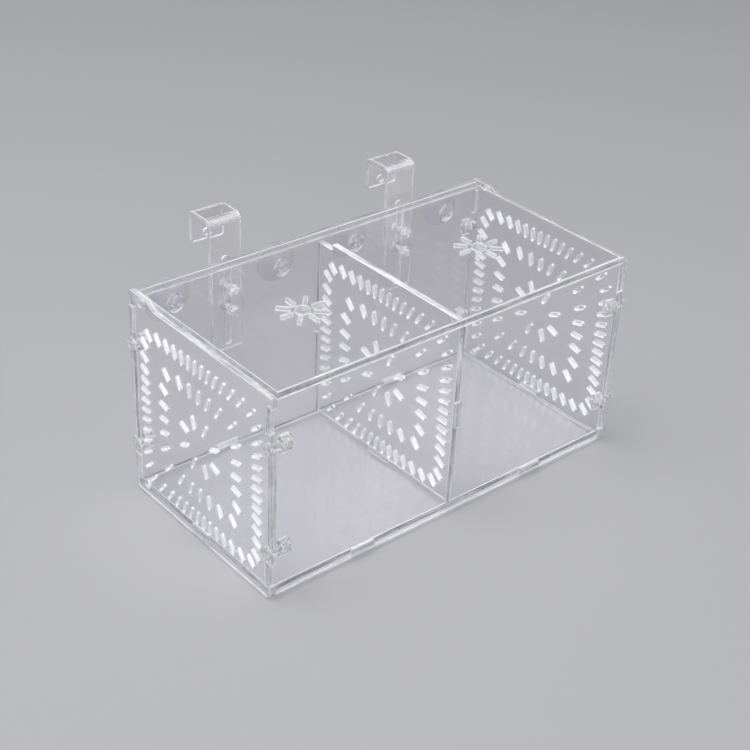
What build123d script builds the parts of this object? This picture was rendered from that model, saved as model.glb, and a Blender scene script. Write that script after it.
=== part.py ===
from build123d import *
import math
import os

# Hang-on breeding box for aquarium fish: laser-cut clear sheet, held by tabs and plastic screws.
# Millimetres, +Z up. X runs along the box and +Y points back at the tank's wall. The feet stand
# on Z = 0, and the origin is under the middle of the whole thing, hooks and screw heads included.

# --- Sheet and box -------------------------------------------------------------------------
sheet = 3.0                  # every panel of the box is cut from this sheet
box_length = 200.0           # X, over the outer faces of the end panels
box_width = 100.0            # Y, over the outer faces of the front and back panels
end_height = 98.1            # from the feet to the straight top edge of the end panels
wall_lift = 1.2              # lower edge of the front and back panels, above the feet
floor_lift = 2.5             # underside of the floor, above the feet
back_proud = 2.1             # top of the back panel, above the end panels' straight edge
foot_radius = 3.0            # lower corners of the end panels
top_corner_radius = 2.0      # upper front corner of the end panels
cut_clearance = 0.05         # play all round a tab in its slot

# --- Tabs ----------------------------------------------------------------------------------
tab_length = 12.0            # every tab, along its edge
low_tab_height = 12.0        # middle of the lower wall tabs, above the feet
high_tab_drop = 11.1         # middle of the upper wall tabs, below the end panels' straight edge
divider_tab_height = 52.0    # middle of the divider's front and back tabs, above the feet

# --- Lid and its pivot ---------------------------------------------------------------------
lid_proud = 1.7              # top of the lid, above the end panels' straight edge
lid_rest_gap = 0.3           # under the closed lid
lid_side_gap = 0.3           # between the lid and each end panel
lid_tail = 3.3               # lid behind its pivot
pivot_from_back = 8.8        # pivot ahead of the back panel's outer face
lug_clearance = 0.08         # round the corners of the square lug in its round hole
tail_clearance = 0.8         # between the divider and the swinging tail of the lid
ear_rise = 3.0               # ear that carries the pivot, above the straight edge
ear_reach = 5.2              # level top of the ear, ahead of the pivot
ear_ramp = 5.0               # sloping front of the ear
ear_radius = 1.5             # rear corner and both ends of the slope
foot_hole_radius = 1.9       # small hole below each pivot
foot_hole_height = 5.5       # its middle, above the feet

# --- Flower vents in the lid ---------------------------------------------------------------
petal_count = 8
petal_inner = 5.1            # from the flower's middle to the near end of a petal
petal_outer = 11.2           # from the flower's middle to the far end of a petal
petal_width = 1.5
flower_hole_radius = 3.1

# --- Rings of slots in the end panels and the divider --------------------------------------
vent_length = 6.2            # one slot, over its round ends
vent_width = 1.5
field_margin_y = 9.7         # outer ring, from the outer faces of the front and back panels
field_margin_z = 10.3        # outer ring, from the feet
field_top_margin = 12.4      # outer ring, from the end panels' straight edge
squareness = 11.0            # exponent of the squared rings: more is squarer
ring_counts = (52, 24, 8)    # slots in each ring, from the outer ring inwards
ring_ratios = (1.00, 0.65, 0.27)            # size of each ring beside the outer one
ring_start_angles = (180.0 / 52, 0.0, 22.5)  # degrees from level to the first slot of each ring

# --- Corner screws and their nuts ----------------------------------------------------------
screw_from_tab = 12.2        # screw axis beyond the middle of the nearest tab
corner_screw_radius = 1.5
corner_screw_length = 10.2   # under the head
corner_head_radius = 3.2
corner_head_height = 0.7     # low head, almost flush
corner_head_rounding = 0.3
driver_slot_width = 1.0
driver_slot_depth = 0.4
corner_nut_radius = 3.7
corner_nut_length = 4.2
corner_nut_bridge = 2.2      # panel left between its end edge and the nut
nut_groove_width = 1.0       # groove round the middle of the nut
nut_groove_depth = 0.7
fastener_clearance = 0.15    # round the nuts in their cut-outs
thread_clearance = 0.05      # radial, screw in its nut or in its close hole

# --- Hooks over the tank's rim -------------------------------------------------------------
hook_sheet = 2.0             # thinner sheet, which bends more easily
hook_width = 16.8
hook_gap = 0.3               # between the back panel and the hook, and the hook and its nuts
rim_gap = 12.0               # thickest rim that the hook takes
hook_rise = 19.8             # top of the hook, above the back panel
hook_leg = 66.8              # long leg, over the bend
hook_short_leg = 16.0        # outer leg, over the bend
bend_radius = 1.6            # inside of both bends
hook_corner_radius = 1.5     # corners at the ends of both legs
hook_hole_radius = 1.6       # hole in the outer leg
hook_hole_margin = 3.2       # its middle, above the end of the outer leg
hook_slot_bottom = 2.5       # lower end of the slot, above the end of the long leg
hook_slot_top = 19.0         # upper end of the slot, below the top of the hook
slot_clearance = 0.3         # on each side of a thumbscrew in the slot

# --- Thumbscrews and their nuts ------------------------------------------------------------
thumb_drop = 15.6            # upper thumbscrew, below the top of the back panel
thumb_pitch = 10.0           # between the two thumbscrews of a hook
thumb_screw_radius = 1.5
thumb_knob_radius = 2.7
thumb_knob_length = 3.4
thumb_cap_radius = 2.1       # smaller step on the free end of the knob
thumb_cap_length = 0.8
thumb_gap = 0.3              # between the knob and the back panel
knurl_count = 18
knurl_radius = 0.25
thumb_nut_across = 5.5       # hexagon nut, across its flats
thumb_nut_length = 2.4
thumb_tail = 1.0             # screw beyond its nut

# --- Suction cups --------------------------------------------------------------------------
cup_from_hook = 28.5         # cup axis to either side of a hook's middle
cup_drop = 12.1              # cup axis, below the top of the back panel
cup_radius = 10.0
cup_depth = 4.0              # back panel to the rim of the cup
cup_hollow = 2.4             # depth of the hollow face
cup_rim = 0.7                # thickness at the rim
cup_root_radius = 3.4        # cup where it meets the back panel
cup_flare = 1.2             # how far the dome opens to the side there, for each mm backwards
cup_neck_radius = 2.1
button_radius = 3.4          # button inside the box
button_length = 2.4
button_tip_radius = 2.6
button_widest = 1.0          # widest part of the button, from the back panel
keyhole_radius = 3.6
keyhole_drop = 2.2           # middle of the round part, below the cup axis

# --- Places worked out from the sizes above ------------------------------------------------
head_overhang = corner_head_radius - sheet / 2
hook_reach = hook_gap + rim_gap + 2 * hook_sheet
front = head_overhang - (head_overhang + box_width + hook_reach) / 2
back = front + box_width
inner_front = front + sheet
inner_back = back - sheet
mid_width = (front + back) / 2
outer_end = box_length / 2
inner_end = outer_end - sheet
bay_middle = outer_end / 2
floor_top = floor_lift + sheet
lid_bottom = end_height + lid_proud - sheet
front_top = lid_bottom - lid_rest_gap
back_top = end_height + back_proud
pivot_y = back - pivot_from_back
pivot_z = lid_bottom + sheet / 2
lug_radius = math.hypot(sheet / 2, sheet / 2)
tail_swing = math.hypot(lid_tail, sheet / 2)
tab_heights = (low_tab_height, end_height - high_tab_drop)
screw_heights = (tab_heights[0] + screw_from_tab, tab_heights[1] - screw_from_tab)
thumb_heights = {"upper": back_top - thumb_drop, "lower": back_top - thumb_drop - thumb_pitch}
cup_height = back_top - cup_drop
hook_top = back_top + hook_rise
hook_front = back + hook_gap
hook_back = hook_front + rim_gap + 2 * hook_sheet
hook_nut_front = hook_front + hook_sheet + hook_gap
sides = {"left": -1, "right": 1}


# --- Shapes shared by several pieces -------------------------------------------------------
def plate_yz(outline, x_from, thickness=sheet):
    """Plate across the box: the outline's coordinates are Y and Z."""
    return extrude(Plane.YZ.offset(x_from) * outline, amount=thickness)


def plate_xz(outline, y_from, thickness=sheet):
    """Plate along the box, standing: the outline's coordinates are X and Z."""
    rear_face = Plane(origin=(0, y_from + thickness, 0), x_dir=(1, 0, 0), z_dir=(0, -1, 0))
    return extrude(rear_face * outline, amount=thickness)


def plate_xy(outline, z_from):
    """Plate lying flat: the outline's coordinates are X and Y."""
    return extrude(Pos(0, 0, z_from) * outline, amount=sheet)


def span(low_x, high_x, low_y, high_y):
    """Rectangle between two corners."""
    middle = Pos((low_x + high_x) / 2, (low_y + high_y) / 2)
    return middle * Rectangle(high_x - low_x, high_y - low_y)


def rod_x(x_from, x_to, y, z, radius):
    """Round bar along X."""
    return Pos((x_from + x_to) / 2, y, z) * Rot(0, 90, 0) * Cylinder(radius, x_to - x_from)


def rod_y(y_from, y_to, x, z, radius):
    """Round bar along Y."""
    return Pos(x, (y_from + y_to) / 2, z) * Rot(90, 0, 0) * Cylinder(radius, y_to - y_from)


def on_side(shape, side):
    """The shape as it is for the right side, mirrored for the left."""
    if side > 0:
        return shape
    return mirror(shape, about=Plane.YZ)


# --- Panels --------------------------------------------------------------------------------
def vent_slots():
    """Squared rings of slots, each pointing at the middle of the panel."""
    half_y = box_width / 2 - field_margin_y
    half_z = (end_height - field_top_margin - field_margin_z) / 2
    middle_z = field_margin_z + half_z
    slots = []
    for ratio, count, start_angle in zip(ring_ratios, ring_counts, ring_start_angles):
        for number in range(count):
            angle = start_angle + 360.0 * number / count
            along_y = math.cos(math.radians(angle))
            along_z = math.sin(math.radians(angle))
            stretch = abs(along_y / half_y) ** squareness + abs(along_z / half_z) ** squareness
            reach = ratio * stretch ** (-1 / squareness)
            place = Pos(mid_width + reach * along_y, middle_z + reach * along_z)
            slots.append(place * Rot(0, 0, angle) * SlotOverall(vent_length, vent_width))
    return slots


def end_outline():
    """End panel's outline, with the ear that carries the lid's pivot."""
    ear_top = end_height + ear_rise
    ear_front = pivot_y - ear_reach
    corners = [
        (front, 0),
        (back, 0),
        (back, ear_top),
        (ear_front, ear_top),
        (ear_front - ear_ramp, end_height),
        (front, end_height),
    ]
    radii = [foot_radius, foot_radius, ear_radius, ear_radius, ear_radius, top_corner_radius]
    return make_face(FilletPolyline(*corners, radius=radii, close=True))


def end_panel(side):
    """End panel: edge notches for tabs and screws, floor slot, pivot hole and vents."""
    cuts = vent_slots()
    depth = sheet + cut_clearance
    for edge, inward in ((front, 1), (back, -1)):
        notch_y = sorted((edge, edge + inward * depth))
        for height in tab_heights:
            half = tab_length / 2 + cut_clearance
            cuts.append(span(*notch_y, height - half, height + half))
        axis_y = edge + inward * sheet / 2
        mouth_y = sorted((edge, axis_y))
        hole = corner_screw_radius + thread_clearance
        for height in screw_heights:
            cuts.append(Pos(axis_y, height) * Circle(hole))
            cuts.append(span(*mouth_y, height - hole, height + hole))
    floor_slot = Rectangle(tab_length + 2 * cut_clearance, sheet + 2 * cut_clearance)
    cuts.append(Pos(mid_width, floor_lift + sheet / 2) * floor_slot)
    cuts.append(Pos(pivot_y, pivot_z) * Circle(lug_radius + lug_clearance))
    cuts.append(Pos(pivot_y, foot_hole_height) * Circle(foot_hole_radius))
    return on_side(plate_yz(end_outline() - cuts, inner_end), side)


def nut_slot(height):
    """T-shaped cut for a corner screw and its nut, at the right end of a wall."""
    stem = corner_screw_radius + thread_clearance
    tip = outer_end - corner_screw_length - fastener_clearance
    nut_outer = inner_end - corner_nut_bridge
    nut_inner = nut_outer - corner_nut_length - fastener_clearance
    nut_half = corner_nut_radius + fastener_clearance
    return [
        span(tip, inner_end, height - stem, height + stem),
        span(nut_inner, nut_outer, height - nut_half, height + nut_half),
    ]


def wall_outline(top):
    """Front or back wall with its end tabs, nut slots and the slots for floor and divider."""
    outline = span(-inner_end, inner_end, wall_lift, top)
    half = tab_length / 2
    play = cut_clearance
    cuts = []
    for side in sides.values():
        for height in tab_heights:
            tab = span(inner_end, outer_end, height - half, height + half)
            outline += on_side(tab, side)
        for height in screw_heights:
            cuts += [on_side(cut, side) for cut in nut_slot(height)]
        floor_slot = span(-half - play, half + play, floor_lift - play, floor_top + play)
        cuts.append(Pos(side * bay_middle, 0) * floor_slot)
    half_sheet = sheet / 2 + play
    tab_span = (divider_tab_height - half - play, divider_tab_height + half + play)
    cuts.append(span(-half_sheet, half_sheet, *tab_span))
    return outline - cuts


def front_panel():
    """Front wall, which the closed lid covers."""
    return plate_xz(wall_outline(front_top), front)


def keyhole(x):
    """Keyhole of a suction cup: the neck's seat above, a round hole for the button below."""
    half = cup_neck_radius + thread_clearance
    seat = Pos(x, cup_height) * Circle(half)
    throat = span(x - half, x + half, cup_height - keyhole_drop, cup_height)
    entry = Pos(x, cup_height - keyhole_drop) * Circle(keyhole_radius)
    return [seat, throat, entry]


def back_panel():
    """Back wall, with holes for the thumbscrews and keyholes for the suction cups."""
    cuts = []
    for side in sides.values():
        for height in thumb_heights.values():
            hole = Circle(thumb_screw_radius + thread_clearance)
            cuts.append(Pos(side * bay_middle, height) * hole)
    for x in cup_places():
        cuts += keyhole(x)
    return plate_xz(wall_outline(back_top) - cuts, inner_back)


def floor_panel():
    """Floor, with two tabs to each wall, one to each end and a slot for the divider."""
    half = tab_length / 2
    outline = span(-inner_end, inner_end, inner_front, inner_back)
    outline += span(-outer_end, outer_end, mid_width - half, mid_width + half)
    for side in sides.values():
        middle = side * bay_middle
        outline += span(middle - half, middle + half, front, back)
    slot_x = sheet / 2 + cut_clearance
    slot_y = half + cut_clearance
    outline -= span(-slot_x, slot_x, mid_width - slot_y, mid_width + slot_y)
    return plate_xy(outline, floor_lift)


def divider_panel():
    """Divider, with tabs to walls and floor and a corner cut away for the lid's tail."""
    half = tab_length / 2
    outline = span(inner_front, inner_back, floor_top, front_top)
    outline += span(front, back, divider_tab_height - half, divider_tab_height + half)
    outline += span(mid_width - half, mid_width + half, floor_lift, floor_top)
    tail_room = tail_swing + tail_clearance
    outline -= span(pivot_y - tail_room, inner_back, pivot_z - tail_room, front_top)
    return plate_yz(outline - vent_slots(), -sheet / 2)


def flower_vent(x, y):
    """Ring of petals round a hole."""
    cuts = [Pos(x, y) * Circle(flower_hole_radius)]
    middle = (petal_inner + petal_outer) / 2
    for number in range(petal_count):
        petal = SlotOverall(petal_outer - petal_inner, petal_width)
        cuts.append(Pos(x, y) * Rot(0, 0, 360.0 * number / petal_count) * Pos(middle, 0) * petal)
    return cuts


def lid_panel():
    """Lid with two flower vents and a square pivot lug at each end."""
    half = inner_end - lid_side_gap
    outline = span(-half, half, front, pivot_y + lid_tail)
    outline += span(-outer_end, outer_end, pivot_y - sheet / 2, pivot_y + sheet / 2)
    for side in sides.values():
        outline -= flower_vent(side * bay_middle, (front + pivot_y) / 2)
    return plate_xy(outline, lid_bottom)


# --- Corner screws -------------------------------------------------------------------------
def corner_screw(side, y, z):
    """Plastic screw with a round slotted head, through an end panel into a wall."""
    head_top = outer_end + corner_head_height
    head = rod_x(outer_end, head_top, y, z, corner_head_radius)
    rim = head.edges().filter_by(GeomType.CIRCLE).sort_by(Axis.X)[-1]
    head = fillet(rim, corner_head_rounding)
    recess = Box(2 * driver_slot_depth, driver_slot_width, 2 * corner_head_radius)
    head -= Pos(head_top, y, z) * recess
    shank = rod_x(outer_end - corner_screw_length, outer_end, y, z, corner_screw_radius)
    return on_side(head + shank, side)


def corner_nut(side, y, z):
    """Round nut with a groove, across the wall in its slot."""
    outer = inner_end - corner_nut_bridge
    inner = outer - corner_nut_length
    middle = (outer + inner) / 2
    nut = rod_x(inner, outer, y, z, corner_nut_radius)
    band = rod_x(middle - nut_groove_width / 2, middle + nut_groove_width / 2, y, z, corner_nut_radius)
    core = rod_x(inner, outer, y, z, corner_nut_radius - nut_groove_depth)
    nut -= band - core
    nut -= rod_x(inner, outer, y, z, corner_screw_radius + thread_clearance)
    return on_side(nut, side)


# --- Hooks ---------------------------------------------------------------------------------
def hook(side):
    """Bent strip: long slotted leg behind the box, bridge over the rim, short outer leg."""
    outer = bend_radius + hook_sheet
    leg_end = hook_top - hook_leg
    short_end = hook_top - hook_short_leg
    corners = [
        (hook_front, leg_end),
        (hook_front + hook_sheet, leg_end),
        (hook_front + hook_sheet, hook_top - hook_sheet),
        (hook_back - hook_sheet, hook_top - hook_sheet),
        (hook_back - hook_sheet, short_end),
        (hook_back, short_end),
        (hook_back, hook_top),
        (hook_front, hook_top),
    ]
    radii = [0, 0, bend_radius, bend_radius, 0, 0, outer, outer]
    strip = make_face(FilletPolyline(*corners, radius=radii, close=True))
    x = side * bay_middle
    piece = plate_yz(strip, x - hook_width / 2, hook_width)
    leg_ends = piece.edges().filter_by(Axis.Y).group_by(Axis.Z)
    piece = fillet(leg_ends[0] + leg_ends[1], hook_corner_radius)
    slot_low = leg_end + hook_slot_bottom
    slot_high = hook_top - hook_slot_top
    slot = SlotOverall(slot_high - slot_low, 2 * (thumb_screw_radius + slot_clearance))
    slot = Pos(x, (slot_low + slot_high) / 2) * Rot(0, 0, 90) * slot
    piece -= plate_xz(slot, hook_front, hook_sheet)
    hole_z = short_end + hook_hole_margin
    piece -= rod_y(hook_back - hook_sheet, hook_back, x, hole_z, hook_hole_radius)
    return piece


def thumbscrew(side, z):
    """Thumbscrew through the back panel and the hook: knurled stepped knob inside the box."""
    x = side * bay_middle
    face = inner_back - thumb_gap
    step = face - thumb_knob_length
    knob = rod_y(step, face, x, z, thumb_knob_radius)
    grooves = []
    for number in range(knurl_count):
        angle = 2 * math.pi * number / knurl_count
        groove_x = x + thumb_knob_radius * math.cos(angle)
        groove_z = z + thumb_knob_radius * math.sin(angle)
        grooves.append(rod_y(step, face, groove_x, groove_z, knurl_radius))
    knob -= grooves
    knob += rod_y(step - thumb_cap_length, step, x, z, thumb_cap_radius)
    tail_end = hook_nut_front + thumb_nut_length + thumb_tail
    return knob + rod_y(face, tail_end, x, z, thumb_screw_radius)


def thumb_nut(side, z):
    """Hexagon nut behind the hook."""
    x = side * bay_middle
    hexagon = Pos(x, z) * RegularPolygon(thumb_nut_across / 2, 6, major_radius=False)
    bore = Pos(x, z) * Circle(thumb_screw_radius + thread_clearance)
    return plate_xz(hexagon - bore, hook_nut_front, thumb_nut_length)


# --- Suction cups --------------------------------------------------------------------------
def cup_places():
    """X of the cups, from left to right: one to either side of each hook."""
    offsets = (-cup_from_hook, cup_from_hook)
    return [side * bay_middle + offset for side in sides.values() for offset in offsets]


def suction_cup(x):
    """Soft cup behind the box, neck through the keyhole, button inside."""
    rim_back = sheet + cup_depth
    hollow_top = rim_back - cup_hollow
    tip = (0, -button_length)
    tip_edge = (button_tip_radius, -button_length)
    widest = (button_radius, -button_widest)
    root = (cup_root_radius, sheet)
    rim_top = (cup_radius, rim_back - cup_rim)
    rim_low = (cup_radius, rim_back)
    hollow = (0, hollow_top)
    profile = [
        Line(tip, tip_edge),
        Line(tip_edge, widest),
        Line(widest, (button_radius, 0)),
        Line((button_radius, 0), (cup_neck_radius, 0)),
        Line((cup_neck_radius, 0), (cup_neck_radius, sheet)),
        Line((cup_neck_radius, sheet), root),
        TangentArc(root, rim_top, tangent=(cup_flare, 1)),
        Line(rim_top, rim_low),
        TangentArc(hollow, rim_low, tangent=(1, 0)),
        Line(hollow, tip),
    ]
    section = Plane.XZ * make_face(profile)
    cup = revolve(section, axis=Axis.Z)
    return Pos(x, inner_back, cup_height) * Rot(-90, 0, 0) * cup


# --- Nodes ---------------------------------------------------------------------------------
def pieces():
    """Every piece of the box under its node's name."""
    nodes = {
        "front_panel": front_panel(),
        "back_panel": back_panel(),
        "floor_panel": floor_panel(),
        "divider_panel": divider_panel(),
        "lid_panel": lid_panel(),
    }
    for name, side in sides.items():
        nodes[f"{name}_end_panel"] = end_panel(side)
        nodes[f"{name}_hook"] = hook(side)
        for level, z in thumb_heights.items():
            nodes[f"{name}_{level}_thumbscrew"] = thumbscrew(side, z)
            nodes[f"{name}_{level}_thumb_nut"] = thumb_nut(side, z)
        for wall, y in (("front", front + sheet / 2), ("back", back - sheet / 2)):
            for level, z in zip(("lower", "upper"), screw_heights):
                nodes[f"{name}_{wall}_{level}_corner_screw"] = corner_screw(side, y, z)
                nodes[f"{name}_{wall}_{level}_corner_nut"] = corner_nut(side, y, z)
    for number, x in enumerate(cup_places(), start=1):
        nodes[f"suction_cup_{number}"] = suction_cup(x)
    return nodes


os.makedirs("parts", exist_ok=True)
for node, piece in pieces().items():
    export_step(piece, f"parts/{node}.step")
    size = piece.bounding_box().size
    print(f"{node}: {size.X:.1f} x {size.Y:.1f} x {size.Z:.1f} mm, {piece.volume:.0f} mm3")
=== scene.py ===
# %% [markdown]
# # A clear breeding box that hangs on an aquarium
# The real object is a small box of clear sheet, cut by a laser and held together with tabs and
# plastic screws. It hangs by two hooks on the tank's rim. Almost everything that the eye sees of
# it is edges: the polished faces let light straight through, and only the cut edges, the slots
# and the moulded plastic catch it. So this lesson spends its effort on edges.
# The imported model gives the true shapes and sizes, and every step below dresses them.

# %% Load the frame
import math

import bmesh
import bpy
from mathutils import Matrix, Vector


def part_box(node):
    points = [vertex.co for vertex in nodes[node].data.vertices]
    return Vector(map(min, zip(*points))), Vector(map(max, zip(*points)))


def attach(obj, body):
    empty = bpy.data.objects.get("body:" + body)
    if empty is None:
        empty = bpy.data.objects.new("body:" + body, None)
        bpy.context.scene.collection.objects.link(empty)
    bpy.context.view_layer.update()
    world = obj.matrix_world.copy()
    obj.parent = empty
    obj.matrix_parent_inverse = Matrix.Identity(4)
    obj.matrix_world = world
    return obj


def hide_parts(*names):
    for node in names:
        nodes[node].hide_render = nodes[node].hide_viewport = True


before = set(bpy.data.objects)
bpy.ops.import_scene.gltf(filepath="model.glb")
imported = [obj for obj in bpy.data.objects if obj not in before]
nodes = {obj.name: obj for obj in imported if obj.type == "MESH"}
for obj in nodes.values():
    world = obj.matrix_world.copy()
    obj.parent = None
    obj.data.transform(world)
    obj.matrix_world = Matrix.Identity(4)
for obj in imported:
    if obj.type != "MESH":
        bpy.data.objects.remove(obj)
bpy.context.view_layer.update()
MM = 0.001

# %% [markdown]
# ## The camera
# A camera is a place, three directions and a focal length. The picture of the real box was taken
# from the front left, about thirty degrees above the box, and with a slight roll. Building the
# rotation from the camera's own right, up and back directions avoids guessing Euler angles, and
# leaves the lens shift at zero.

# %% Camera
azimuth = math.radians(-41.445)
elevation = math.radians(31.593)
roll = math.radians(2.921)
camera_place = Vector((-0.38169, -0.43458, 0.39957))
focal_length = 71.4

level = Vector((math.cos(azimuth), math.sin(azimuth), 0))
back = Vector((math.sin(azimuth) * math.cos(elevation), -math.cos(azimuth) * math.cos(elevation),
               math.sin(elevation)))
upright = back.cross(level)
right = level * math.cos(roll) + upright * math.sin(roll)
up = upright * math.cos(roll) - level * math.sin(roll)

lens = bpy.data.cameras.new("camera")
lens.lens = focal_length
lens.sensor_width = 36
lens.clip_start = 0.01
lens.clip_end = 20
camera = bpy.data.objects.new("camera", lens)
camera.matrix_world = Matrix.Translation(camera_place) @ Matrix((right, up, back)).transposed().to_4x4()
bpy.context.scene.collection.objects.link(camera)
bpy.context.scene.camera = camera
print("camera at", tuple(round(v, 3) for v in camera_place), "lens", focal_length, "mm")

# %% [markdown]
# ## Small helpers for materials
# A material is a graph of nodes. These few helpers make a node, set its plain values by name and
# join sockets, so that each finish below reads as a short recipe.

# %% Node helpers


def new_material(name):
    """An empty node material and its output node."""
    material = bpy.data.materials.new(name)
    material.use_nodes = True
    tree = material.node_tree
    tree.nodes.clear()
    return material, tree, tree.nodes.new("ShaderNodeOutputMaterial")


def node(tree, kind, **values):
    """A node with some of its inputs or settings set by name."""
    made = tree.nodes.new("ShaderNode" + kind)
    for name, value in values.items():
        words = name.replace("_", " ")
        if words in made.inputs:
            made.inputs[words].default_value = value
        else:
            setattr(made, name, value)
    return made


def join(tree, output, target):
    """Link an output to an input."""
    tree.links.new(output, target)


def object_noise(tree, scale, detail, stretch=(1, 1, 1)):
    """Noise that sticks to the piece, stretched along any of its axes."""
    place = node(tree, "TexCoord")
    squeeze = node(tree, "Mapping", Scale=stretch)
    noise = node(tree, "TexNoise", Scale=scale, Detail=detail)
    join(tree, place.outputs["Object"], squeeze.inputs["Vector"])
    join(tree, squeeze.outputs["Vector"], noise.inputs["Vector"])
    return noise


def spread(tree, source, low, high):
    """A factor from 0 to 1 spread over another range."""
    span = node(tree, "MapRange", To_Min=low, To_Max=high)
    join(tree, source, span.inputs["Value"])
    return span.outputs["Result"]


def lets_lamps_through(tree, shader, out):
    """Clear plastic throws hardly any shadow, but a path tracer finds no lamp through glass.
    So rays that look for a lamp pass straight on."""
    ray = node(tree, "LightPath")
    clear = node(tree, "BsdfTransparent", Color=(0.93, 0.93, 0.94, 1))
    mix = node(tree, "MixShader")
    join(tree, ray.outputs["Is Shadow Ray"], mix.inputs[0])
    join(tree, shader, mix.inputs[1])
    join(tree, clear.outputs[0], mix.inputs[2])
    join(tree, mix.outputs[0], out.inputs["Surface"])


print("node helpers ready")

# %% [markdown]
# ## The stage
# A pale floor under soft light. A grid with a single square is enough for it. It is six metres
# wide, so that the picture shows nothing else behind the box. It lies a hair below the box's feet,
# because two faces in the same place would flicker.

# %% Stage
floor_reach = 3.0
floor_drop = 0.2 * MM
floor_mesh = bmesh.new()
bmesh.ops.create_grid(floor_mesh, x_segments=1, y_segments=1, size=floor_reach)
floor_data = bpy.data.meshes.new("studio_floor")
floor_mesh.to_mesh(floor_data)
floor_mesh.free()
studio_floor = bpy.data.objects.new("studio_floor", floor_data)
bpy.context.scene.collection.objects.link(studio_floor)
studio_floor.location.z = -floor_drop

floor_paint, tree, out = new_material("studio_floor")
paint = node(tree, "BsdfPrincipled", Base_Color=(0.46, 0.46, 0.475, 1), Roughness=0.7)
join(tree, paint.outputs[0], out.inputs["Surface"])
floor_data.materials.append(floor_paint)


def softbox(name, place, target, width, height, power):
    """A rectangular lamp that faces a point."""
    lamp = bpy.data.lights.new(name, "AREA")
    lamp.shape = "RECTANGLE"
    lamp.size = width
    lamp.size_y = height
    lamp.energy = power
    stand = bpy.data.objects.new(name, lamp)
    stand.location = place
    stand.rotation_euler = (Vector(target) - Vector(place)).to_track_quat("-Z", "Y").to_euler()
    bpy.context.scene.collection.objects.link(stand)


middle = (0, 0, 0.05)
softbox("key_softbox", (-0.5, 0.2, 1.5), middle, 1.2, 1.0, 17)
softbox("side_softbox", (1.2, -0.9, 0.9), middle, 1.0, 1.0, 7)
softbox("front_softbox", (-1.1, -1.3, 0.9), middle, 0.9, 0.9, 6.5)

world = bpy.data.worlds.new("studio")
world.use_nodes = True
world.node_tree.nodes["Background"].inputs["Color"].default_value = (0.95, 0.97, 1.0, 1)
world.node_tree.nodes["Background"].inputs["Strength"].default_value = 0.30
bpy.context.scene.world = world
bpy.context.scene.view_settings.view_transform = "Standard"
bpy.context.scene.cycles.max_bounces = 32
bpy.context.scene.cycles.transmission_bounces = 32
bpy.context.scene.cycles.transparent_max_bounces = 32
print("stage ready: floor", 2 * floor_reach, "m wide")

# %% [markdown]
# ## Clear sheet and its finishes
# One sheet of acrylic shows several finishes. Its broad faces are polished and all but invisible.
# A laser leaves the cut edge slightly frosted, with pale and grey lines along it. The sharp
# corner between the two, the arris, shows a thin bright line, which is painted into it as a
# near-white colour: a painted highlight. And where a hook was heated and bent, its faces are drawn
# into hazy streaks, whose pale tone is partly painted light for the glow inside the bent sheet.
# The frosted cut comes in three tones: the walls of the small vents are painted palest, a painted
# brightness for the light that bounces about in them, and two of the upper rims are painted greyest,
# a painted shade for the dark look of those rims. One function makes all three, with the two ends of
# its tones as arguments. Plain glass would be no good for a long cut edge: light that has entered
# the sheet can't leave through it, and it would turn black.

# %% Sheet finishes


def polished_face():
    """The broad faces: glass-like, with a breath of haze so that they are not perfect."""
    material, tree, out = new_material("acrylic_face")
    glass = node(tree, "BsdfPrincipled", Base_Color=(0.975, 0.97, 0.985, 1), IOR=1.49)
    glass.inputs["Transmission Weight"].default_value = 1.0
    haze = object_noise(tree, scale=60.0, detail=4.0)
    join(tree, spread(tree, haze.outputs[0], low=0.0, high=0.05), glass.inputs["Roughness"])
    lets_lamps_through(tree, glass.outputs[0], out)
    return material


def cut_edge(name, stretch, grey, pale):
    """The laser's edge: frosted, with pale and grey layers along it and cloudier spots."""
    material, tree, out = new_material(name)
    frost = node(tree, "BsdfPrincipled", Roughness=0.4, IOR=1.49)
    frost.inputs["Transmission Weight"].default_value = 0.18
    lines = object_noise(tree, scale=1000.0, detail=2.0, stretch=stretch)
    clouds = object_noise(tree, scale=420.0, detail=3.0)
    both = node(tree, "Math", operation="ADD")
    join(tree, spread(tree, lines.outputs[0], low=-1.0, high=1.4), both.inputs[0])
    join(tree, spread(tree, clouds.outputs[0], low=-0.2, high=0.9), both.inputs[1])
    tone = node(tree, "ValToRGB")
    tone.color_ramp.elements[0].color = grey
    tone.color_ramp.elements[1].color = pale
    join(tree, both.outputs[0], tone.inputs["Fac"])
    join(tree, tone.outputs[0], frost.inputs["Base Color"])
    relief = node(tree, "Bump", Strength=0.35, Distance=0.2 * MM)
    join(tree, lines.outputs[0], relief.inputs["Height"])
    join(tree, relief.outputs[0], frost.inputs["Normal"])
    lets_lamps_through(tree, frost.outputs[0], out)
    return material


def painted_highlight_arris():
    """The sharp corner of the sheet, melted round by the laser, and painted near-white as a painted
    highlight line.
    """
    material, tree, out = new_material("acrylic_arris_painted_highlight")
    shine = node(tree, "BsdfPrincipled", Roughness=0.25)
    highlight_and_roughness_noise = object_noise(tree, scale=160.0, detail=2.0)
    tone = node(tree, "ValToRGB")
    # painted highlight: the arris's near-white tones, varied by noise, stand in for its thin bright
    # line
    tone.color_ramp.elements[0].color = (0.66, 0.66, 0.69, 1)
    tone.color_ramp.elements[1].color = (0.95, 0.95, 0.96, 1)
    join(tree, spread(tree, highlight_and_roughness_noise.outputs[0], low=-0.3, high=1.5), tone.inputs["Fac"])
    join(tree, tone.outputs[0], shine.inputs["Base Color"])
    join(tree, spread(tree, highlight_and_roughness_noise.outputs[0], low=0.15, high=0.45), shine.inputs["Roughness"])
    join(tree, shine.outputs[0], out.inputs["Surface"])
    return material


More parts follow.
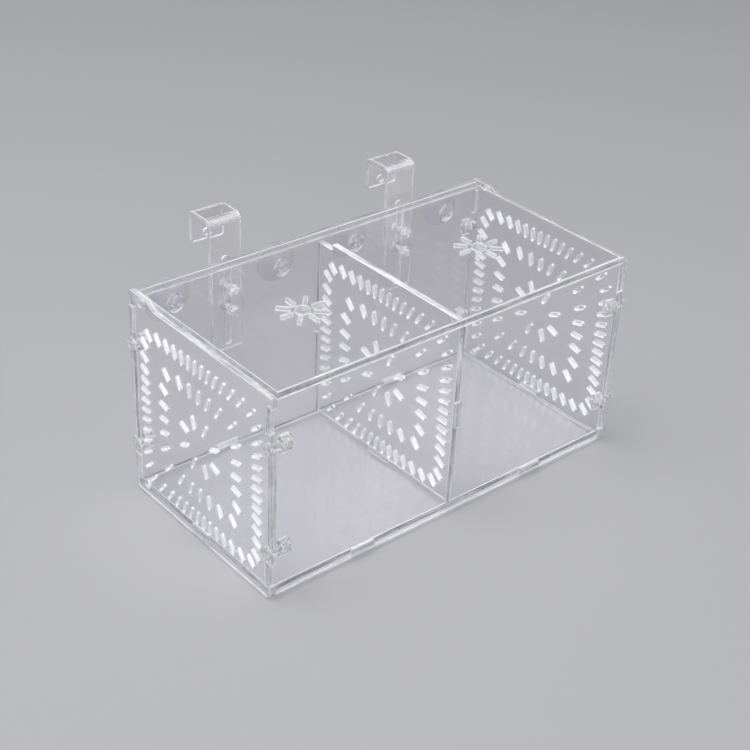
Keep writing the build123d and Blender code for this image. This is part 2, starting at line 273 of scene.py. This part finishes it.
def heated_bend_and_painted_light():
    """The broad faces of a bend: the hot sheet is drawn, which leaves hazy streaks along the fold;
    their whitish tone is partly painted light.
    """
    material, tree, out = new_material("acrylic_bend")
    haze = node(tree, "BsdfPrincipled", IOR=1.49)
    haze.inputs["Transmission Weight"].default_value = 0.55
    streaks = object_noise(tree, scale=900.0, detail=2.0, stretch=(0.06, 1, 1))
    tone = node(tree, "ValToRGB")
    # partly painted light: the pale streak tones are real haze and also a painted glow along the bend
    tone.color_ramp.elements[0].color = (0.70, 0.70, 0.74, 1)
    tone.color_ramp.elements[1].color = (0.97, 0.97, 0.98, 1)
    join(tree, spread(tree, streaks.outputs[0], low=-0.5, high=1.5), tone.inputs["Fac"])
    join(tree, tone.outputs[0], haze.inputs["Base Color"])
    join(tree, spread(tree, streaks.outputs[0], low=0.10, high=0.45), haze.inputs["Roughness"])
    relief = node(tree, "Bump", Strength=0.4, Distance=0.2 * MM)
    join(tree, streaks.outputs[0], relief.inputs["Height"])
    join(tree, relief.outputs[0], haze.inputs["Normal"])
    lets_lamps_through(tree, haze.outputs[0], out)
    return material


face_finish = polished_face()
arris_finish = painted_highlight_arris()
bend_finish = heated_bend_and_painted_light()
# noise stretched in the sheet's own plane gives lines that run along its edges, whichever way they go
layers = {"X": (1, 0.05, 0.05), "Y": (0.05, 1, 0.05), "Z": (0.05, 0.05, 1)}
even = (1, 1, 1)
edge_grey, edge_pale = (0.42, 0.42, 0.45, 1), (0.93, 0.93, 0.95, 1)
# painted light: the vent walls are painted pale for the light that bounces about in them
vent_grey, vent_pale = (0.80, 0.80, 0.83, 1), (0.98, 0.98, 0.99, 1)
# painted shade: the two upper rims are painted dark grey for their dark look
rim_shade_grey, rim_shade_pale = (0.34, 0.34, 0.37, 1), (0.60, 0.60, 0.63, 1)
edge_finish = {axis: cut_edge("cut_edge_" + axis.lower(), stretch, edge_grey, edge_pale)
               for axis, stretch in layers.items()}
vent_finish = cut_edge("vent_wall", even, vent_grey, vent_pale)
# the rim finishes carry the painted shade of the two upper rims
rim_shade_finish = {
    "back_panel": cut_edge("back_rim_painted_shade", layers["Y"], rim_shade_grey, rim_shade_pale),
    "right_end_panel": cut_edge("end_rim_painted_shade", layers["X"], rim_shade_grey, rim_shade_pale),
}
print("sheet finishes:", face_finish.name, arris_finish.name, bend_finish.name, vent_finish.name,
      "and", len(edge_finish), "cut edges,", len(rim_shade_finish), "rims")

# %% [markdown]
# ## Dress the flat panels
# Each panel is copied from the frame, its loose triangles are merged into one skin, and the edges
# between a broad face and a cut face are bevelled by a fraction of a millimetre. The bevel is the
# arris. Then every face gets the finish that its direction calls for. A finish is chosen by its
# number in the piece's list of materials, so the numbers are given names first.

# %% Sheet tools
FACE, EDGE, ARRIS, BEND, VENT, RIM = range(6)
arris_width = 0.28 * MM
rim_depth = 4 * MM
sharp_corner = math.radians(35)
weld_distance = 0.001 * MM


def merged_copy(name):
    """A copy of a frame node as one merged skin in a bmesh."""
    skin = bmesh.new()
    skin.from_mesh(nodes[name].data)
    bmesh.ops.remove_doubles(skin, verts=skin.verts, dist=weld_distance)
    return skin


def finish_piece(skin, name, body, finishes, replaced=(), is_curved=lambda face: True):
    """Turn a bmesh into a piece that rides on a body and stands for frame nodes. Curved faces are
    shaded smooth, and corners of more than 35 degrees stay sharp."""
    data = bpy.data.meshes.new(name)
    for face in skin.faces:
        face.smooth = is_curved(face)
    for edge in skin.edges:
        edge.smooth = len(edge.link_faces) == 2 and edge.calc_face_angle(0) < sharp_corner
    skin.to_mesh(data)
    skin.free()
    for finish in finishes:
        data.materials.append(finish)
    piece = bpy.data.objects.new(name, data)
    bpy.context.scene.collection.objects.link(piece)
    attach(piece, body)
    if replaced:
        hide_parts(*replaced)
    return piece


def is_turning(face):
    """Faces of the sheet's bends and of the round ends of its cuts look along no axis."""
    return max(abs(value) for value in face.normal) < 0.9999 and face.material_index != ARRIS


def dress_sheet(name, body, is_cut, edge, is_vent):
    """Bevel the arrises of a sheet and give each kind of face its finish."""
    skin = merged_copy(name)
    skin.normal_update()
    for face in skin.faces:
        face.material_index = EDGE if is_cut(face) else FACE
    corners = [e for e in skin.edges if len(e.link_faces) == 2
               and e.link_faces[0].material_index != e.link_faces[1].material_index]
    bmesh.ops.bevel(skin, geom=corners, offset=arris_width, affect="EDGES", segments=1, profile=0.5,
                    material=ARRIS, clamp_overlap=False)
    skin.normal_update()
    rim = max(vertex.co.z for vertex in skin.verts) - rim_depth
    for face in skin.faces:
        on_rim = face.normal.z > 0.3 and face.calc_center_median().z > rim
        if face.material_index == FACE and is_turning(face):
            face.material_index = BEND
        elif face.material_index == EDGE and is_vent(face):
            face.material_index = VENT
        elif face.material_index == EDGE and on_rim:
            face.material_index = RIM
    finishes = [face_finish, edge, arris_finish, bend_finish, vent_finish, rim_shade_finish.get(name, edge)]
    piece = finish_piece(skin, name + "_sheet", body, finishes, [name], is_turning)
    print(name, "faces", len(piece.data.polygons), "arris edges", len(corners))


print("sheet tools ready, arris", round(arris_width / MM, 2), "mm wide")

# %% [markdown]
# ## Which faces are cuts, and which cuts are vents
# A flat sheet's cut faces look across the sheet, so the direction of a face is enough to tell them.
# The vents are told by their place: in the lid they lie round the middle of each half, and in the
# end panels and the divider they fill a field that stays clear of the outline.

# %% Panels
flower_middle = 50 * MM
flower_reach = 13 * MM
field_bottom, field_top = 7 * MM, 91 * MM
field_front, field_back = -51 * MM, 36.4 * MM


def across(axis):
    """Test for cut faces of a flat sheet whose broad faces look along an axis."""
    index = "XYZ".index(axis)
    return lambda face: abs(face.normal[index]) < 0.5


def is_flower(face):
    """The walls of the lid's two flower-shaped vents."""
    return abs(abs(face.calc_center_median().x) - flower_middle) < flower_reach


def is_slot(face):
    """The walls of the slots in an upright panel."""
    centre = face.calc_center_median()
    return field_bottom < centre.z < field_top and field_front < centre.y < field_back


def no_vent(face):
    """For a sheet without vents."""
    return False


flat_sheets = [
    ("front_panel", "box", "Y", no_vent),
    ("back_panel", "box", "Y", no_vent),
    ("floor_panel", "box", "Z", no_vent),
    ("divider_panel", "box", "X", is_slot),
    ("left_end_panel", "box", "X", is_slot),
    ("right_end_panel", "box", "X", is_slot),
    ("lid_panel", "lid", "Z", is_flower),
]
for name, body, axis, is_vent in flat_sheets:
    dress_sheet(name, body, across(axis), edge_finish[axis], is_vent)

# %% [markdown]
# ## The hooks
# A hook is a strip bent twice, so its cut faces can't be told by one direction. Its sides look
# along X. Every other cut, at the legs' ends, in the slot and in the small hole, has its middle
# inside the thickness of a leg, and below the bends.

# %% Hooks
hook_sheet = 2.0 * MM
hair = 0.01 * MM


def hook_cut(name):
    """Test for the cut faces of a bent hook."""
    low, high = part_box(name)
    long_leg = low.y + hook_sheet / 2
    short_leg = high.y - hook_sheet / 2
    below_bend = high.z - 2 * hook_sheet
    below_roof = high.z - 3 * hook_sheet

    def is_cut(face):
        centre = face.calc_center_median()
        side = abs(face.normal.x) > 0.05
        long_end = centre.z < low.z + hair
        short_end = (centre.y > high.y - hook_sheet - hair and face.normal.z < -0.9
                     and centre.z < below_bend)
        slot_wall = abs(centre.y - long_leg) < 0.4 * hook_sheet and centre.z < below_roof
        hole_wall = abs(centre.y - short_leg) < 0.3 * hook_sheet and centre.z < below_bend
        return side or long_end or short_end or slot_wall or hole_wall
    return is_cut


for name in ("left_hook", "right_hook"):
    dress_sheet(name, name, hook_cut(name), edge_finish["X"], no_vent)

# %% [markdown]
# ## Moulded plastic: two finishes
# Screws, nuts and cups come out of a mould, so they have no polished faces. The screws look like
# ice: hard and clear, with a skin that breaks the light into sparks. The cups are soft vinyl,
# which is cloudier and faintly lilac.

# %% Moulded finishes


def moulded(name, colour, shade, clearness, roughness, ripple_scale, ripple_depth):
    """Clear moulded plastic with an uneven skin; shade darkens the hollows of its ripples."""
    material, tree, out = new_material(name)
    ice = node(tree, "BsdfPrincipled", IOR=1.47)
    ice.inputs["Transmission Weight"].default_value = clearness
    ripple = object_noise(tree, scale=ripple_scale, detail=3.0)
    tone = node(tree, "ValToRGB")
    tone.color_ramp.elements[0].position = 0.36
    tone.color_ramp.elements[0].color = [value * shade for value in colour[:3]] + [1]
    tone.color_ramp.elements[1].position = 0.60
    tone.color_ramp.elements[1].color = colour
    join(tree, ripple.outputs[0], tone.inputs["Fac"])
    join(tree, tone.outputs[0], ice.inputs["Base Color"])
    relief = node(tree, "Bump", Strength=0.8, Distance=ripple_depth)
    join(tree, ripple.outputs[0], relief.inputs["Height"])
    join(tree, relief.outputs[0], ice.inputs["Normal"])
    skin = spread(tree, ripple.outputs[0], low=roughness * 0.5, high=roughness * 1.5)
    join(tree, skin, ice.inputs["Roughness"])
    lets_lamps_through(tree, ice.outputs[0], out)
    return material


screw_plastic = moulded("screw_plastic", (0.98, 0.98, 0.99, 1), shade=0.55, clearness=0.35,
                        roughness=0.20, ripple_scale=900.0, ripple_depth=0.5 * MM)
cup_vinyl = moulded("cup_vinyl", (0.88, 0.87, 0.93, 1), shade=0.92, clearness=0.85,
                    roughness=0.06, ripple_scale=160.0, ripple_depth=0.1 * MM)
print("moulded finishes:", screw_plastic.name, cup_vinyl.name)

# %% [markdown]
# ## Turned shapes
# Screws, nuts and cups are round about an axis. Each starts as a half outline, points of distance
# along the axis and radius, which the spin operator carries round. Where the outline meets the
# axis the points are merged, and then the normals are made to look outwards.
# A thread starts as a plain bar of many rings. Its points are then pushed in and out with their
# height and their angle together, so that the crests climb round it as a helix.

# %% Turning helpers
seam_distance = 0.0001 * MM


def axis_matrix(place, direction):
    """Stands a shape made along Z at a place, along a direction."""
    turn = Vector(direction).to_track_quat("Z", "Y").to_matrix().to_4x4()
    return Matrix.Translation(Vector(place)) @ turn


def turned(skin, outline, steps, closed=True):
    """Add a turned shape along Z to a bmesh; the outline is (along, radius) in millimetres."""
    points = [skin.verts.new((radius * MM, 0, along * MM)) for along, radius in outline]
    pairs = list(zip(points, points[1:]))
    if closed:
        pairs.append((points[-1], points[0]))
    edges = [skin.edges.new(pair) for pair in pairs]
    bmesh.ops.spin(skin, geom=points + edges, cent=(0, 0, 0), axis=(0, 0, 1), angle=2 * math.pi,
                   steps=steps, use_merge=True)


thread_crest = 1.5
thread_root = 1.2
thread_pitch = 0.7
rings_per_turn = 6
thread_steps = 20


def threaded(skin, start, end):
    """Add a threaded bar along Z, from one place to another in millimetres."""
    others = set(skin.verts)
    rows = round((end - start) / thread_pitch * rings_per_turn)
    middle_radius = (thread_root + thread_crest) / 2
    turned(skin, [(start + (end - start) * row / rows, middle_radius) for row in range(rows + 1)],
           thread_steps, closed=False)
    bar = [point for point in skin.verts if point not in others]
    for point in bar:
        angle = math.atan2(point.co.y, point.co.x)
        phase = 2 * math.pi * point.co.z / MM / thread_pitch - angle
        radius = middle_radius + (thread_crest - thread_root) / 2 * math.cos(phase)
        point.co.x = radius * math.cos(angle) * MM
        point.co.y = radius * math.sin(angle) * MM
    ends = [edge for edge in skin.edges if edge.is_boundary and edge.verts[0] not in others]
    bmesh.ops.holes_fill(skin, edges=ends, sides=thread_steps)


def stand(skin, place, direction):
    """Merge, point the normals outwards and stand the shape in its place."""
    bmesh.ops.remove_doubles(skin, verts=skin.verts, dist=seam_distance)
    bmesh.ops.recalc_face_normals(skin, faces=skin.faces)
    bmesh.ops.transform(skin, matrix=axis_matrix(place, direction), verts=skin.verts)


def middle_of(name):
    """The middle of a frame node's box."""
    low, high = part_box(name)
    return (Vector(low) + Vector(high)) / 2


print("turning helpers ready")

# %% [markdown]
# ## Corner screws
# Eight plastic screws hold the end panels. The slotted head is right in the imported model, so it
# isn't made again: it is cut off its plain shank, and its corners are softened with a small bevel.
# A threaded bar takes the place of the shank.

# %% Corner screws
outer_face = 100.0
screw_tip = 89.8
head_bevel = 0.12 * MM
head_corner = 1.0

for side, sign in (("left", -1), ("right", 1)):
    for wall in ("front", "back"):
        for level in ("lower", "upper"):
            name = f"{side}_{wall}_{level}_corner_screw"
            head = merged_copy(name)
            shank = [v for v in head.verts if sign * v.co.x < outer_face * MM - hair]
            bmesh.ops.delete(head, geom=shank, context="VERTS")
            head.normal_update()
            rims = [e for e in head.edges
                    if len(e.link_faces) == 2 and e.calc_face_angle(0) > head_corner]
            bmesh.ops.bevel(head, geom=rims, offset=head_bevel, affect="EDGES", segments=2,
                            profile=0.5, material=-1, clamp_overlap=True)
            centre = middle_of(name)
            shaft = bmesh.new()
            threaded(shaft, screw_tip, outer_face)
            stand(shaft, (0, centre.y, centre.z), (sign, 0, 0))
            thread = bpy.data.meshes.new("thread")
            shaft.to_mesh(thread)
            shaft.free()
            head.from_mesh(thread)
            bpy.data.meshes.remove(thread)
            piece = finish_piece(head, name + "_threaded", "box", [screw_plastic],
                                 [name])
print("corner screw faces:", len(piece.data.polygons))

# %% [markdown]
# ## Corner nuts
# The nuts lie across the wall in T-shaped cuts. They are short barrels with ribs round them, so
# that wet fingers can hold them, and a plain bore, flared at both ends, for the screw's thread.

# %% Corner nuts
nut_ribs = 4
groove_radius = 3.15
bore_radius = 1.55
bore_flare = 0.3
bore_lead = 0.25
rim_round = 0.35
nut_steps = 40


def ribbed_outline(length, rim):
    """Half outline of a barrel with rounded ribs; it starts and ends in the bore."""
    outline = [(bore_lead, bore_radius), (0, bore_radius + bore_flare), (0, rim - rim_round)]
    pitch = length / nut_ribs
    for rib in range(nut_ribs):
        start = rib * pitch
        outline += [(start + 0.10 * pitch, rim - 0.08), (start + 0.28 * pitch, rim),
                    (start + 0.52 * pitch, rim), (start + 0.70 * pitch, rim - 0.08)]
        if rib < nut_ribs - 1:
            outline += [(start + 0.80 * pitch, groove_radius), (start + 1.0 * pitch, groove_radius)]
    return outline + [(length, rim - rim_round), (length, bore_radius + bore_flare),
                      (length - bore_lead, bore_radius)]


for side, sign in (("left", -1), ("right", 1)):
    for wall in ("front", "back"):
        for level in ("lower", "upper"):
            name = f"{side}_{wall}_{level}_corner_nut"
            low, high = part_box(name)
            length = (high.x - low.x) / MM
            rim = (high.y - low.y) / 2 / MM
            barrel = bmesh.new()
            turned(barrel, ribbed_outline(length, rim), nut_steps)
            start = (low if sign > 0 else high).x
            centre = middle_of(name)
            stand(barrel, (start, centre.y, centre.z), (sign, 0, 0))
            piece = finish_piece(barrel, name + "_ribbed", "box", [screw_plastic],
                                 [name])
print("corner nut faces:", len(piece.data.polygons))

# %% [markdown]
# ## Thumbscrews
# A knurled knob with a smaller cap sits inside the box, and its thread runs out through the back
# panel and the hook. The knurl is made as the thread is, by pushing the points of the turned knob
# in and out with the angle.

# %% Thumbscrews
cap_length, cap_radius = 0.8, 2.1
knob_length, knob_radius = 3.4, 2.7
knob_ridges, ridge_depth = 14, 0.35
knob_end = cap_length + knob_length

knob_outline = [
    (0, 0), (0, cap_radius - 0.35), (0.12, cap_radius - 0.1), (0.35, cap_radius),
    (cap_length, cap_radius), (cap_length, knob_radius - 0.45),
    (cap_length + 0.2, knob_radius - 0.12), (cap_length + 0.55, knob_radius),
    (cap_length + knob_length * 0.5, knob_radius),
    (knob_end - 0.55, knob_radius), (knob_end - 0.2, knob_radius - 0.12),
    (knob_end, knob_radius - 0.45), (knob_end, 0),
]


def knurled_knob(skin):
    """Add the knob along Z, cap first, with ridges along its side."""
    turned(skin, knob_outline, knob_ridges * 4, closed=False)
    for point in skin.verts:
        reach = math.hypot(point.co.x, point.co.y)
        if reach > (knob_radius - 0.2) * MM:
            angle = math.atan2(point.co.y, point.co.x)
            dip = ridge_depth * MM * (0.5 - 0.5 * math.cos(knob_ridges * angle))
            point.co.x *= (reach - dip) / reach
            point.co.y *= (reach - dip) / reach


for side in ("left", "right"):
    for level in ("upper", "lower"):
        name = f"{side}_{level}_thumbscrew"
        low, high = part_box(name)
        length = (high.y - low.y) / MM
        screw = bmesh.new()
        knurled_knob(screw)
        threaded(screw, knob_end, length)
        centre = middle_of(name)
        stand(screw, (centre.x, low.y, centre.z), (0, 1, 0))
        piece = finish_piece(screw, name + "_knurled", name, [screw_plastic],
                             [name])
print("thumbscrew faces:", len(piece.data.polygons))

# %% [markdown]
# ## Hexagon nuts behind the hooks
# A hexagon nut is turned from a bar with six flats, so its corners are cut down at both ends. Here
# a spin in six steps gives the flats, and the outline's two slanted ends give the cut corners.

# %% Hexagon nuts
corner_cut, corner_length = 0.45, 0.25
for side in ("left", "right"):
    for level in ("upper", "lower"):
        name = f"{side}_{level}_thumb_nut"
        low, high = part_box(name)
        depth = (high.y - low.y) / MM
        corner = (high.x - low.x) / 2 / MM
        nut = bmesh.new()
        turned(nut, [(0, bore_radius), (0, corner - corner_cut), (corner_length, corner),
                     (depth - corner_length, corner), (depth, corner - corner_cut),
                     (depth, bore_radius)], 6)
        centre = middle_of(name)
        stand(nut, (centre.x, low.y, centre.z), (0, 1, 0))
        piece = finish_piece(nut, name + "_chamfered", "box", [screw_plastic],
                             [name])
        box_low, box_high = Vector(piece.bound_box[0]), Vector(piece.bound_box[6])
print("hexagon nut, overall mm:", [round(v / MM, 2) for v in (box_high - box_low)])

# %% [markdown]
# ## Suction cups
# A suction cup is one piece of soft vinyl: a thin bell behind the panel, a neck in the keyhole and
# a button inside the box that a finger can pull. The half outline goes out along the back of the
# bell and returns along its hollow face. The button has a dimple, where the mould was fed.

# %% Suction cups


def arc_points(start, end, bulge, count):
    """Points from one (along, radius) to another on a curve that bulges to its left."""
    first, last = Vector(start), Vector(end)
    side = Vector((-(last - first).y, (last - first).x))
    return [tuple(first.lerp(last, n / count) + side * bulge * 4 * (n / count) * (1 - n / count))
            for n in range(1, count)]


button_length = 2.4
dimple = [(-1.7, 0), (-1.75, 0.9), (-2.2, 1.3)]
button = [(-button_length, 1.8), (-2.3, 2.35), (-1.7, 3.0), (-1.0, 3.36), (-0.4, 3.4),
          (-0.1, 3.25), (0, 2.95)]
neck = [(0, 2.4), (0.3, 2.1), (2.8, 2.1), (3.02, 2.6)]
bell_root = (3.05, 3.4)
bell_back = (6.3, 9.95)
bell_lip = [(6.65, 10.0), (7.0, 10.0)]
rim_inside = (6.93, 9.7)
hollow_top = (4.6, 0)
back_bulge, hollow_bulge, arc_count = -0.058, -0.06, 10
cup_steps = 64
cup_outline = (dimple + button + neck + [bell_root]
               + arc_points(bell_root, bell_back, back_bulge, arc_count)
               + [bell_back] + bell_lip + [rim_inside]
               + arc_points(rim_inside, hollow_top, hollow_bulge, arc_count)
               + [hollow_top])

for number in range(1, 5):
    name = f"suction_cup_{number}"
    low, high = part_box(name)
    cup = bmesh.new()
    turned(cup, cup_outline, cup_steps, closed=False)
    centre = middle_of(name)
    stand(cup, (centre.x, low.y + button_length * MM, centre.z), (0, 1, 0))
    piece = finish_piece(cup, name + "_bell", "box", [cup_vinyl], [name])
print("suction cup faces:", len(piece.data.polygons))
